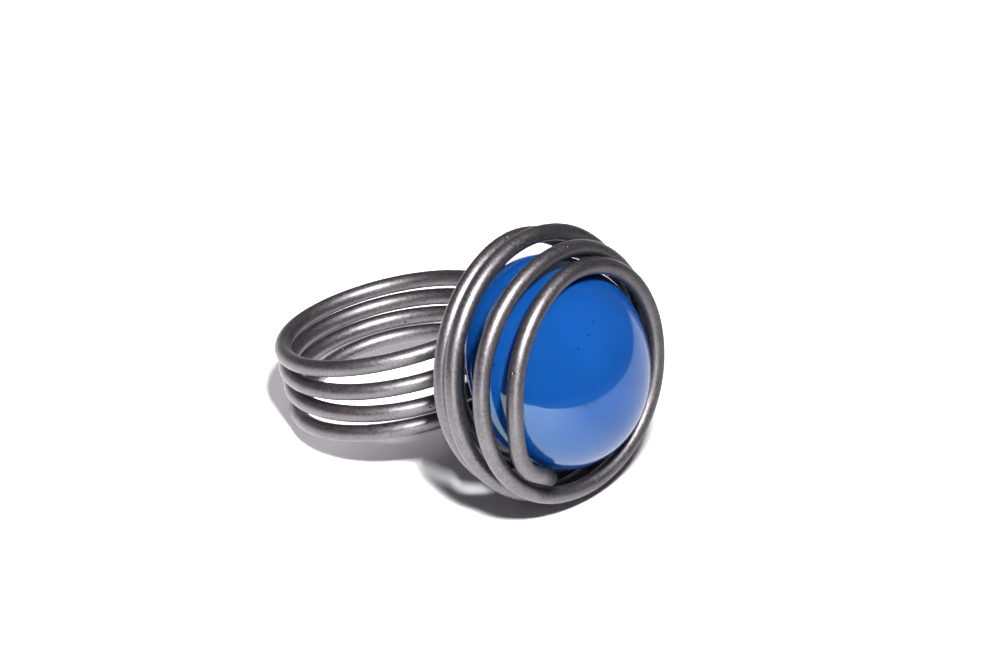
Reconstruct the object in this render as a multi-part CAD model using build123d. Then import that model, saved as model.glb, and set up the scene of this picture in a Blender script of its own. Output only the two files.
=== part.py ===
"""A finger ring wound from one round wire, with a domed glass stone held in its head.

The wire goes four times round the finger, turns off the band at the front, winds outwards
behind the stone and then round it, each turn further forward, and ends tucked in below
the stone. The ring is modelled with the finger's axis along Z and its head towards +X, and
is then laid on its side as it comes to rest by itself. The origin is at the bottom centre
of the box round the whole ring.
"""
from build123d import *
import os
from math import cos, pi, radians, sin, tan

os.makedirs("parts", exist_ok=True)

# Wire and band, in millimetres
wire_d = 1.5
finger_hole_d = 18.5

# Stone, an oval glass nugget
stone_long = 19.9
stone_short = 18.6
stone_dome_h = 6.1
stone_back_h = 2.3
stone_flat = 0.4  # flat middle of the back, as a share of its width
stone_oval_turn = 39.0  # degrees from upright to the long axis
stone_tip = 12.0  # degrees that the dome looks upwards

# Head
head_reach = 18.0  # from the finger's axis to the middle of the wraps
head_rise = 0.5
head_turn = -5.0  # degrees about the finger's axis
stone_forward = 0.1
stone_aside = 0.25
stone_lift = 0.6
seat_gap = 0.1  # between the wire and the stone
end_ease = 0.25  # rounding of the wire's cut ends
neck_gap = 0.5  # between the band and the first turn behind the stone
foot_length = 6.5  # of wrap A's lowest side, on which the head stands

# Balance at rest: grams in a cubic millimetre, and about how far the finger's axis leans, in
# degrees
metal_density = 0.0027
glass_density = 0.0025
lean_guess = 16.0

# The four strands of the band, at places counted in degrees from the front towards the
# near side: height of the top strand above the middle of the finger, and the gaps from
# each strand to the next one down, all as a number of wire diameters
STRANDS = (
    ("near the head", 26, 2.37, 0.73, 0.53, 0.08),
    ("near side of the back", 150, 1.90, 0.16, 0.15, 0.66),
    ("far side of the back", 205, 1.77, 0.08, 0.08, 0.10),
    ("far side", 272, 1.91, 0.20, 0.18, 0.17),
)
START = (10, -2.15)  # the wire's hidden first end: place, and height in wire diameters
LEAVE = (311, 2.75)  # where it turns off the band

# Turns behind the stone: radius as a share of half the stone's short width, and forward
# of the turn nearest the band as a number of wire diameters
BASE_TURNS = (
    ("inner", "top", 0.34, 0.00),
    ("inner", "left", 0.40, 0.10),
    ("inner", "bottom", 0.48, 0.15),
    ("inner", "right", 0.60, 0.25),
    ("outer", "top", 0.73, 0.75),
    ("outer", "left", 0.86, 1.45),
    ("outer", "bottom", 0.94, 1.75),
    ("outer", "right", 1.08, 1.65),
)

# Wraps round the stone, at every eighth of a turn: forward of the middle of the head, and
# lift off the stone, both as a number of wire diameters
WRAPS = (
    ("A", "top", -1.52, 0.66),
    ("A", "top left", -1.58, 0.28),
    ("A", "left", -1.68, 0.45),
    ("A", "bottom left", -1.53, 0.30),
    ("A", "bottom", -1.33, 0.08),
    ("A", "bottom right", -1.11, 0.08),
    ("A", "right", -0.89, 0.50),
    ("A", "top right", -0.67, 0.72),
    ("B", "top", -0.46, 0.62),
    ("B", "top left", -0.47, 0.40),
    ("B", "left", -0.50, 0.76),
    ("B", "bottom left", -0.40, 0.86),
    ("B", "bottom", -0.14, 0.42),
    ("B", "bottom right", 0.25, 0.06),
    ("B", "right", 0.76, 0.04),
    ("B", "top right", 1.32, 0.42),
    ("C", "top", 2.05, 1.28),
    ("C", "top left", 1.84, 1.05),
    ("C", "left", 1.54, 0.98),
    ("C", "bottom left", 1.10, 1.02),
    ("C", "bottom", 1.17, 0.57),
    ("C", "bottom right", 1.45, 0.14),
    ("C", "right", 1.84, 0.11),
    ("C", "top right", 2.33, 0.53),
    ("D", "top", 2.65, 0.68),
    ("D", "top left", 2.88, 0.42),
    ("D", "left", 2.76, 0.45),
)

# The wire's last corner and its end, below the stone: degrees on from the left, forward of
# the middle of the head in wire diameters, and radius as a share of half the stone's short
# width
LAST_BEND = (
    ("corner", 28, 2.30, 1.12),
    ("end", 56, 1.70, 1.00),
)

wire_r = wire_d / 2
band_r = finger_hole_d / 2 + wire_r
POINTS_PER_TURN = 12
STEP = 360 / POINTS_PER_TURN
OUTSET = 1 / cos(radians(STEP / 2))  # corners stand this much outside the curve they round
ARC_SHARE = 0.49  # of the shorter side at a corner, taken up by its arc
LEAVING_SHARE = 0.9  # of the way from the band to the coil, at which the wire turns
FOOT_SHARE = 0.3  # the same at the foot's two corners, so that its middle stays straight
BALANCE_POINTS = 900


def band_stations():
    """Places along the wire in degrees, over all four turns, and its heights there."""
    stations = [(START[0], START[1] * wire_d)]
    loops = len(STRANDS[0]) - 3 + 1
    for loop in range(loops):
        for _, place, top, *gaps in STRANDS:
            steps = gaps[: loops - 1 - loop]
            stations.append((360 * loop + place, (top - sum(steps) - len(steps)) * wire_d))
    stations.append((360 * (loops - 1) + LEAVE[0], LEAVE[1] * wire_d))
    return stations


def blend(stations, place):
    """Value at a place between stations, levelling out at each."""
    for (at_a, a), (at_b, b) in zip(stations, stations[1:]):
        if place <= at_b:
            share = (place - at_a) / (at_b - at_a)
            return a + (b - a) * (1 - cos(pi * share)) / 2
    return stations[-1][1]


def smooth(stations, place):
    """Value at a place, on a smooth curve through the values at the stations."""
    k = 0
    while k < len(stations) - 2 and stations[k + 1][0] <= place:
        k += 1
    slopes = []
    for j in (k, k + 1):
        before, after = stations[max(j - 1, 0)], stations[min(j + 1, len(stations) - 1)]
        slopes.append((after[1] - before[1]) / (after[0] - before[0]))
    (at_a, a), (at_b, b) = stations[k], stations[k + 1]
    t = (place - at_a) / (at_b - at_a)
    return (
        a * (1 + 2 * t) * (1 - t) ** 2
        + b * t**2 * (3 - 2 * t)
        + (at_b - at_a) * t * (1 - t) * (slopes[0] * (1 - t) - slopes[1] * t)
    )


def band_points():
    """Corners of the wire's way round the finger, from its first end to where it leaves."""
    stations = band_stations()
    start, end = stations[0][0], stations[-1][0]
    count = round((end - start) / STEP)
    points = []
    for k in range(count + 1):
        place = start + (end - start) * k / count
        radius = band_r * (OUTSET if 0 < k < count else 1)
        side = -radius * sin(radians(place))
        points.append(Vector(radius * cos(radians(place)), side, blend(stations, place)))
    return points


def head_to_ring(forward, side, up):
    """Point given in the head's directions, in the ring's."""
    turn = radians(head_turn)
    x = head_reach + forward * cos(turn) - side * sin(turn)
    y = forward * sin(turn) + side * cos(turn)
    return Vector(x, y, head_rise + up)


def round_the_head(angle, forward, radius):
    """Point at an angle from the head's top towards its left, forward and radius."""
    return head_to_ring(forward, -radius * sin(radians(angle)), radius * cos(radians(angle)))


def stone_depth(forward, side, up, grow):
    """Under 1 inside the stone's front and the straight shaft behind its edge, grown all round."""
    tip, turn = radians(stone_tip), radians(stone_oval_turn)
    forward, side, up = forward - stone_forward, side - stone_aside, up - stone_lift
    out = forward * cos(tip) + up * sin(tip)
    over = up * cos(tip) - forward * sin(tip)
    across = side * cos(turn) + over * sin(turn)
    along = over * cos(turn) - side * sin(turn)
    return (
        (across / (stone_short / 2 + grow)) ** 2
        + (along / (stone_long / 2 + grow)) ** 2
        + (max(out, 0) / (stone_dome_h + grow)) ** 2
    )


def contact_radius(angle, forward):
    """Radius at which a wrap's centre-line runs just clear of the stone."""
    low, high = 0.0, stone_long
    while high - low > 0.0001:
        radius = (low + high) / 2
        side, up = -radius * sin(radians(angle)), radius * cos(radians(angle))
        if stone_depth(forward, side, up, wire_r + seat_gap) < 1:
            low = radius
        else:
            high = radius
    return high


def foot_corners(before, lowest):
    """Ends of the foot: level when the ring lies at rest, with the wrap's lowest point between."""
    up = floor_way(radians(lean_guess), 0)
    along = lowest - before
    along = (along - up * along.dot(up)).normalized()
    return [lowest - along * foot_length / 2, lowest + along * foot_length / 2]


def coil_points():
    """Corners of the wire's way behind the stone and round it, by turns from its start, and
    the places of the foot's two corners among them."""
    first = band_r + wire_r + neck_gap + wire_r - head_reach
    wraps_from = len(BASE_TURNS) / 4
    forwards, radii, lifts = [], [], []
    for k, (_, _, share, steps) in enumerate(BASE_TURNS):
        forwards.append((k / 4, first + steps * wire_d))
        radii.append((k / 4, share * stone_short / 2))
    for k, (_, _, steps, lift) in enumerate(WRAPS):
        forwards.append((wraps_from + k / 8, steps * wire_d))
        lifts.append((wraps_from + k / 8, lift * wire_d))
    radii.append((wraps_from, contact_radius(0, WRAPS[0][2] * wire_d) + lifts[0][1]))
    points, foot = [], []
    for k in range(round(forwards[-1][0] * POINTS_PER_TURN) + 1):
        turns, angle = k / POINTS_PER_TURN, k * STEP
        forward = smooth(forwards, turns)
        if turns < wraps_from:
            radius = smooth(radii, turns)
        else:
            radius = contact_radius(angle, forward) + max(smooth(lifts, turns), 0)
        if turns == wraps_from + 1 / 2:
            foot = [len(points), len(points) + 1]
            points += foot_corners(points[-1], round_the_head(angle, forward, radius))
        else:
            points.append(round_the_head(angle, forward, radius * OUTSET))
    for _, past, steps, share in LAST_BEND:
        points.append(round_the_head(angle + past, steps * wire_d, share * stone_short / 2))
    return points, foot


def leaving_point(last_band, first_coil):
    """Corner between the band and the coil, straight on from the band."""
    direction = Vector(last_band.Y, -last_band.X, 0).normalized()
    reach = (first_coil.X - last_band.X) / direction.X
    return last_band + direction * reach * LEAVING_SHARE


def corner_radii(points, foot):
    """Arc at each corner: as large as its two sides allow, but small at the foot's."""
    radii = []
    for k in range(1, len(points) - 1):
        inward, outward = points[k] - points[k - 1], points[k + 1] - points[k]
        half_turn = radians(inward.get_angle(outward)) / 2
        share = FOOT_SHARE if k in foot else ARC_SHARE
        radii.append(share * min(inward.length, outward.length) / tan(half_turn))
    return radii


def wire_route():
    """The wire's centre-line, as straight sides with an arc at every corner."""
    band = band_points()
    coil, foot = coil_points()
    start = band + [leaving_point(band[-1], coil[0])]
    points = start + coil
    return FilletPolyline(*points, radius=corner_radii(points, [len(start) + k for k in foot]))


def make_wire(route):
    """Round wire swept along its route, its two cut ends eased."""
    start = Plane(origin=route @ 0, z_dir=route % 0)
    wire = sweep(start * Circle(wire_r), path=route)
    ends = wire.faces().filter_by(GeomType.PLANE).edges()
    return fillet(ends, end_ease)


def stone_plane():
    """Middle of the stone's edge, X across it, Y along it and Z out of its dome."""
    spin, tip, turn = radians(head_turn), radians(stone_tip), radians(stone_oval_turn)
    forward, side, up = Vector(cos(spin), sin(spin)), Vector(-sin(spin), cos(spin)), Vector(0, 0, 1)
    out = forward * cos(tip) + up * sin(tip)
    over = up * cos(tip) - forward * sin(tip)
    across = side * cos(turn) + over * sin(turn)
    middle = head_to_ring(stone_forward, stone_aside, stone_lift)
    return Plane(origin=middle, x_dir=across, z_dir=out)


def make_stone():
    """Oval dome over a low rounded back with a flat middle."""
    edge_r = stone_short / 2
    flat_r = stone_flat * edge_r
    dome = EllipticalCenterArc((0, 0), edge_r, stone_dome_h, 0, arc_size=90)
    back = EllipticalCenterArc((flat_r, 0), edge_r - flat_r, stone_back_h, 270, arc_size=90)
    base = Line((0, -stone_back_h), (flat_r, -stone_back_h))
    middle = Line((0, stone_dome_h), (0, -stone_back_h))
    outline = make_face(Plane.XZ * Wire([middle, base, back, dome]))
    round_stone = revolve(outline, axis=Axis.Z)
    oval = scale(round_stone, by=(1, stone_long / stone_short, 1))
    return stone_plane() * oval


def floor_way(lean, roll):
    """Upward direction of the floor, in the ring's directions, for a lean and a roll."""
    return Vector(sin(lean) * cos(roll), sin(roll), cos(lean) * cos(roll))


def balance(points, weight_at):
    """Lean and roll at which the ring's weight lies lowest over the points that carry it."""

    def height(lean, roll):
        up = floor_way(radians(lean), radians(roll))
        return weight_at.dot(up) - min(point.dot(up) for point in points)

    lean, roll, step = lean_guess, 0.0, 1.0
    best = height(lean, roll)
    while step > 0.001:
        tries = [
            (lean + step * cos(pi * k / 8), roll + step * sin(pi * k / 8)) for k in range(16)
        ]
        found, at = min((height(*place), place) for place in tries)
        if found < best:
            best, (lean, roll) = found, at
        else:
            step /= 2
    return lean, roll


def lay_down(pieces, points, weight_at):
    """Turn the pieces as the ring lies at rest, and stand them on the origin."""
    lean, roll = balance(points, weight_at)
    up = floor_way(radians(lean), radians(roll))
    rest = Plane(origin=(0, 0, 0), x_dir=Vector(1, 0, 0) - up * up.X, z_dir=up)
    laid = [rest.to_local_coords(piece) for piece in pieces]
    box = Compound(laid).bounding_box()
    middle = box.center()
    return [Pos(-middle.X, -middle.Y, -box.min.Z) * piece for piece in laid]


route = wire_route()
wire, stone = make_wire(route), make_stone()
wire_weight, stone_weight = wire.volume * metal_density, stone.volume * glass_density
weight_at = (wire.center() * wire_weight + stone.center() * stone_weight) / (wire_weight + stone_weight)
carriers = [route @ (k / BALANCE_POINTS) for k in range(BALANCE_POINTS + 1)]
wire, stone = lay_down([wire, stone], carriers, weight_at)
export_step(wire, "parts/wire.step")
export_step(stone, "parts/stone.step")
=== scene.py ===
"""Wire-wrapped glass stone ring: the materials, floor, light and camera round the CAD frame."""

from math import cos, radians, sin

import bpy
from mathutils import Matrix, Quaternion, Vector

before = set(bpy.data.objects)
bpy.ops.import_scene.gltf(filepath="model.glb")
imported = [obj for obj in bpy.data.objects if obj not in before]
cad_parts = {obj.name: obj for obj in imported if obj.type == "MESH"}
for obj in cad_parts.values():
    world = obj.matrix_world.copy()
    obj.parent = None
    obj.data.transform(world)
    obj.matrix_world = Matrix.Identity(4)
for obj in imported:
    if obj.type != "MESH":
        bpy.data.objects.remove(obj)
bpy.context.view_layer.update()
wire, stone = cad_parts["wire"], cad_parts["stone"]

# Lengths are in metres unless a line says otherwise. A ramp is a list of (place, value) stops.

# Camera: the photograph's viewing angle
CAMERA_AT = (0.20782, -0.26189, 0.22253)
CAMERA_AIM = (-0.00012, 0.00616, 0.00782)
CAMERA_ROLL = 0.86  # degrees
CAMERA_NEAR = 0.01
LENS, SENSOR = 162.0, 36.0  # millimetres

# Lamps: where each stands (azimuth from +X and elevation, in degrees), its distance, width
# and height, its brightness, and what it lights. The stone has a key lamp of its own, whose
# mirror image hides behind the wire, and the wire has a low soft fill.
LAMPS = (
    ("key", -38, 58, 0.35, 0.055, 0.055, 1550.0, "all but the stone"),
    ("stone_key", -24, 54, 0.40, 0.055, 0.055, 1700.0, "the stone"),
    ("wire_fill", -46, 10, 0.40, 0.14, 0.14, 34.0, "the wire"),
    ("wall", 128, 38, 1.20, 1.80, 1.10, 0.6, "all"),
)
WORLD_COLOUR = (0.54, 0.51, 0.57)
WORLD_STRENGTH = 0.18

# Floor: a white sheet on a dark table, with painted shade and painted light on the sheet
FLOOR_HALF = 1.5
FLOOR_ROUGH = 0.9
SHEET_COLOUR = (0.90, 0.90, 0.91)
SHEET_GRAIN_SCALE = 900.0
SHEET_GRAIN = 0.985  # of the colour, where the grain is darkest
SHEET_PAINTED_SHADE = 0.42  # painted shade: of the colour, behind the head, fading in along both X and Y
SHEET_PAINTED_SHADE_X = (-0.004, 0.012)
SHEET_PAINTED_SHADE_Y = (-0.016, 0.008)
SHEET_PAINTED_LIGHT = 0.36  # painted light: the sheet glows on the band's side to lighten the band's shadow, fading out along X
SHEET_PAINTED_LIGHT_X = (-0.0075, 0.002)
SHEET_PAINTED_LIGHT_COLOUR = (0.90, 0.84, 0.88)
SHEET_EDGE = 0.088  # how far out along X the sheet ends, outside the picture
SHEET_EDGE_SOFT = 0.004
SHEET_SLANT = 0.30  # how far its edge moves in along X for each metre along Y
TABLE_COLOUR = (0.04, 0.04, 0.045)

# Metal: satin dark grey wire
METAL_DARK = (0.080, 0.074, 0.079)
METAL_LIGHT = (0.154, 0.144, 0.152)
METAL_RANGE = (0.33, 0.67)  # of the noise that runs from dark to light
METAL_ROUGH = (0.39, 0.51)
METAL_ROUGH_RANGE = (0.3, 0.7)
SPECK_SIZE, SPECK_ROUGH = 0.00022, 0.62
SPECK_BUMP, SPECK_DEPTH = 0.35, 0.00003
TONE_SIZE = 0.0022
TONE_SHARE = 0.25  # of the noise, the rest is speck
PIT_SIZE = 0.0012  # from pit to pit
PIT_RAMP = ((0.05, 1.0), (0.10, 0.0))
PIT_RARE = 0.62  # only pits whose random shade is above this show
PIT_COLOUR = (0.03, 0.028, 0.03)
PIT_BUMP, PIT_DEPTH = 0.8, 0.00006
TAIL_END = (0.01474, -0.00554, 0.00475)  # the cut end in front
TAIL_PAINTED_SHADE = 0.12  # painted shade: of the metal's colour at that end, where the wire lies in shadow
TAIL_SHADE_FADE = (0.0009, 0.0022)  # how far from it the painted shade ends, from and to

# Glass: milky deep blue, polished
GLASS_COLOUR = (0.0025, 0.040, 0.176)
GLASS_DEEP = (0.0018, 0.034, 0.150)
GLASS_RANGE = (0.35, 0.68)
CLOUD_SCALE, CLOUD_ROUGH = 160.0, 0.4
GLASS_IOR = 1.62
GLASS_TINT = (0.74, 0.97, 1.0)
GLASS_ROUGH = 0.045
MILK_SHARE, MILK_DEPTH = 0.6, 0.0015
MILK_RADIUS = (0.1, 0.35, 1.0)
GLASS_SPECK_SIZE = 0.0016  # from speck to speck
GLASS_SPECK_RAMP = ((0.06, 1.0), (0.10, 0.0))
GLASS_SPECK_RARE = 0.45  # only specks whose random shade is above this show
GLASS_SPECK_COLOUR = (0.001, 0.012, 0.055)
RIPPLE_SCALE, RIPPLE_BUMP, RIPPLE_DEPTH = 260.0, 0.08, 0.0001


class Nodes:
    """Short way to add and join the shader nodes of one material."""

    def __init__(self, name):
        self.material = bpy.data.materials.new(name)
        self.material.use_nodes = True
        self.tree = self.material.node_tree
        self.tree.nodes.clear()

    def add(self, kind, values=(), **settings):
        node = self.tree.nodes.new("ShaderNode" + kind)
        for key, value in settings.items():
            setattr(node, key, value)
        for key, value in dict(values).items():
            if isinstance(value, bpy.types.NodeSocket):
                self.tree.links.new(value, node.inputs[key])
            else:
                node.inputs[key].default_value = value
        return node

    def place(self):
        """Where a point of the surface is on the object, in metres."""
        return self.add("TexCoord").outputs["Object"]

    def ramp(self, value, stops):
        node = self.add("ValToRGB", {"Fac": value})
        elements = node.color_ramp.elements
        for element, (at, colour) in zip(elements, stops):
            element.position = at
            element.color = (*colour, 1.0) if isinstance(colour, tuple) else (colour,) * 3 + (1.0,)
        return node.outputs["Color"]

    def spread(self, value, source, low=0.0, high=1.0):
        """The value goes from low to high over the source range."""
        limits = {"From Min": source[0], "From Max": source[1], "To Min": low, "To Max": high}
        return self.add("MapRange", {"Value": value, **limits}).outputs[0]

    def times(self, vector, share):
        values = {"Vector": vector, "Scale": share}
        return self.add("VectorMath", values, operation="SCALE").outputs["Vector"]

    def blend(self, share, first, colour):
        """From the first colour to a plain one."""
        values = {"Factor": share, "A": first, "B": (*colour, 1.0)}
        return self.add("Mix", values, data_type="RGBA").outputs["Result"]

    def dots(self, place, size, ramp, rare):
        """Small round dots at random places, about a size apart, some left out."""
        cells = self.add("TexVoronoi", {"Vector": place, "Scale": 1 / size, "Randomness": 1.0})
        dot = self.ramp(cells.outputs["Distance"], ramp)
        kept = self.add("Math", {0: cells.outputs["Color"], 1: rare}, operation="GREATER_THAN")
        return self.add("Math", {0: dot, 1: kept.outputs[0]}, operation="MULTIPLY").outputs[0]

    def principled(self, values):
        shader = self.add("BsdfPrincipled", values)
        self.add("OutputMaterial", {"Surface": shader.outputs[0]})
        return self.material


def dress(piece, material):
    for slot in piece.material_slots:
        slot.material = material


def metal_material():
    """Drawn and handled wire, finely speckled, with a few small pits and painted shade at the cut
    end.
    """
    n = Nodes("wire_metal")
    place = n.place()
    speck = n.add(
        "TexNoise",
        {"Vector": place, "Scale": 1 / SPECK_SIZE, "Detail": 4.0, "Roughness": SPECK_ROUGH},
    ).outputs["Fac"]
    tone = n.add("TexNoise", {"Vector": place, "Scale": 1 / TONE_SIZE, "Detail": 3.0}).outputs["Fac"]
    pit = n.dots(place, PIT_SIZE, PIT_RAMP, PIT_RARE)
    mixed = n.add("Mix", {"Factor": TONE_SHARE, "A": speck, "B": tone}, data_type="FLOAT")
    colour = n.ramp(mixed.outputs["Result"], tuple(zip(METAL_RANGE, (METAL_DARK, METAL_LIGHT))))
    # Painted shade: the metal is darkened near the cut end in front, where it lies in shadow.
    off_end = n.add("VectorMath", {0: place, 1: TAIL_END}, operation="DISTANCE").outputs["Value"]
    shaded_at_end = n.times(colour, n.spread(off_end, TAIL_SHADE_FADE, TAIL_PAINTED_SHADE, 1.0))
    grain = n.add("Bump", {"Height": speck, "Strength": SPECK_BUMP, "Distance": SPECK_DEPTH})
    dents = n.add(
        "Bump",
        {"Height": pit, "Strength": PIT_BUMP, "Distance": PIT_DEPTH, "Normal": grain.outputs[0]},
        invert=True,
    )
    return n.principled({
        "Base Color": n.blend(pit, shaded_at_end, PIT_COLOUR),
        "Metallic": 1.0,
        "Roughness": n.ramp(speck, tuple(zip(METAL_ROUGH_RANGE, METAL_ROUGH))),
        "Normal": dents.outputs[0],
    })


def glass_material():
    """Milky glass with faint clouds, a slightly uneven skin and a few dark specks."""
    n = Nodes("stone_glass")
    place = n.place()
    cloud = n.add(
        "TexNoise",
        {"Vector": place, "Scale": CLOUD_SCALE, "Detail": 2.0, "Roughness": CLOUD_ROUGH},
    ).outputs["Fac"]
    colour = n.ramp(cloud, tuple(zip(GLASS_RANGE, (GLASS_DEEP, GLASS_COLOUR))))
    specks = n.dots(place, GLASS_SPECK_SIZE, GLASS_SPECK_RAMP, GLASS_SPECK_RARE)
    ripple = n.add("TexNoise", {"Vector": place, "Scale": RIPPLE_SCALE, "Detail": 1.0}).outputs["Fac"]
    wave = n.add("Bump", {"Height": ripple, "Strength": RIPPLE_BUMP, "Distance": RIPPLE_DEPTH})
    return n.principled({
        "Base Color": n.blend(specks, colour, GLASS_SPECK_COLOUR),
        "Roughness": GLASS_ROUGH,
        "IOR": GLASS_IOR,
        "Specular Tint": (*GLASS_TINT, 1.0),
        "Subsurface Weight": MILK_SHARE,
        "Subsurface Radius": MILK_RADIUS,
        "Subsurface Scale": MILK_DEPTH,
        "Normal": wave.outputs[0],
    })


def floor_material():
    """A white sheet with painted shade behind the head and a painted glow that lightens the band's
    shadow, then the table.
    """
    n = Nodes("floor_paper")
    place = n.place()
    grain = n.add("TexNoise", {"Vector": place, "Scale": SHEET_GRAIN_SCALE, "Detail": 2.0})
    low = tuple(SHEET_GRAIN * c for c in SHEET_COLOUR)
    sheet = n.ramp(grain.outputs["Fac"], ((0.3, low), (0.7, SHEET_COLOUR)))
    apart = n.add("SeparateXYZ", {"Vector": place})
    x, y = apart.outputs["X"], apart.outputs["Y"]
    # Painted shade: the sheet is darkened behind the head, to deepen the head's shadow.
    behind = n.spread(y, SHEET_PAINTED_SHADE_Y)
    head_side = n.spread(x, SHEET_PAINTED_SHADE_X)
    painted_shade_mask = n.add("Math", {0: behind, 1: head_side}, operation="MULTIPLY").outputs[0]
    sheet_with_painted_shade = n.times(sheet, n.spread(painted_shade_mask, (0.0, 1.0), 1.0, SHEET_PAINTED_SHADE))
    across = n.add("Math", {0: y, 1: SHEET_SLANT, 2: x}, operation="MULTIPLY_ADD").outputs[0]
    past = n.spread(across, (SHEET_EDGE - SHEET_EDGE_SOFT, SHEET_EDGE + SHEET_EDGE_SOFT))
    return n.principled({
        "Base Color": n.blend(past, sheet_with_painted_shade, TABLE_COLOUR),
        "Roughness": FLOOR_ROUGH,
        # Painted light: the sheet glows on the band's side, lightening the band's shadow.
        "Emission Color": (*SHEET_PAINTED_LIGHT_COLOUR, 1.0),
        "Emission Strength": n.spread(x, SHEET_PAINTED_LIGHT_X, SHEET_PAINTED_LIGHT, 0.0),
    })


def make_floor():
    mesh = bpy.data.meshes.new("floor")
    h = FLOOR_HALF
    mesh.from_pydata([(-h, -h, 0), (h, -h, 0), (h, h, 0), (-h, h, 0)], [], [(0, 1, 2, 3)])
    mesh.materials.append(floor_material())
    floor = bpy.data.objects.new("floor", mesh)
    bpy.context.scene.collection.objects.link(floor)


def make_camera():
    data = bpy.data.cameras.new("camera")
    data.lens, data.sensor_width, data.clip_start = LENS, SENSOR, CAMERA_NEAR
    camera = bpy.data.objects.new("camera", data)
    bpy.context.scene.collection.objects.link(camera)
    camera.location = CAMERA_AT
    look = Vector(CAMERA_AIM) - Vector(CAMERA_AT)
    roll = Quaternion((0, 0, 1), radians(CAMERA_ROLL))
    camera.rotation_mode = "QUATERNION"
    camera.rotation_quaternion = look.to_track_quat("-Z", "Y") @ roll
    bpy.context.scene.camera = camera


def make_lamp(name, azimuth, elevation, distance, width, height, brightness, lit):
    """An area lamp that faces the origin."""
    data = bpy.data.lights.new(name, "AREA")
    data.shape, data.size, data.size_y = "RECTANGLE", width, height
    data.energy = brightness * width * height
    lamp = bpy.data.objects.new(name, data)
    bpy.context.scene.collection.objects.link(lamp)
    a, e = radians(azimuth), radians(elevation)
    away = Vector((cos(a) * cos(e), sin(a) * cos(e), sin(e)))
    lamp.location = away * distance
    lamp.rotation_mode = "QUATERNION"
    lamp.rotation_quaternion = away.to_track_quat("Z", "Y")
    if lit != "all":
        group = bpy.data.collections.new(name + "_lights")
        group.objects.link(wire if lit == "the wire" else stone)
        if lit == "all but the stone":
            group.collection_objects[0].light_linking.link_state = "EXCLUDE"
        lamp.light_linking.receiver_collection = group


def make_world():
    world = bpy.data.worlds.new("studio")
    world.use_nodes = True
    background = world.node_tree.nodes["Background"]
    background.inputs["Color"].default_value = (*WORLD_COLOUR, 1.0)
    background.inputs["Strength"].default_value = WORLD_STRENGTH
    bpy.context.scene.world = world


make_camera()
make_world()
make_floor()
for lamp in LAMPS:
    make_lamp(*lamp)
dress(wire, metal_material())
dress(stone, glass_material())
bpy.context.scene.view_settings.view_transform = "Standard"
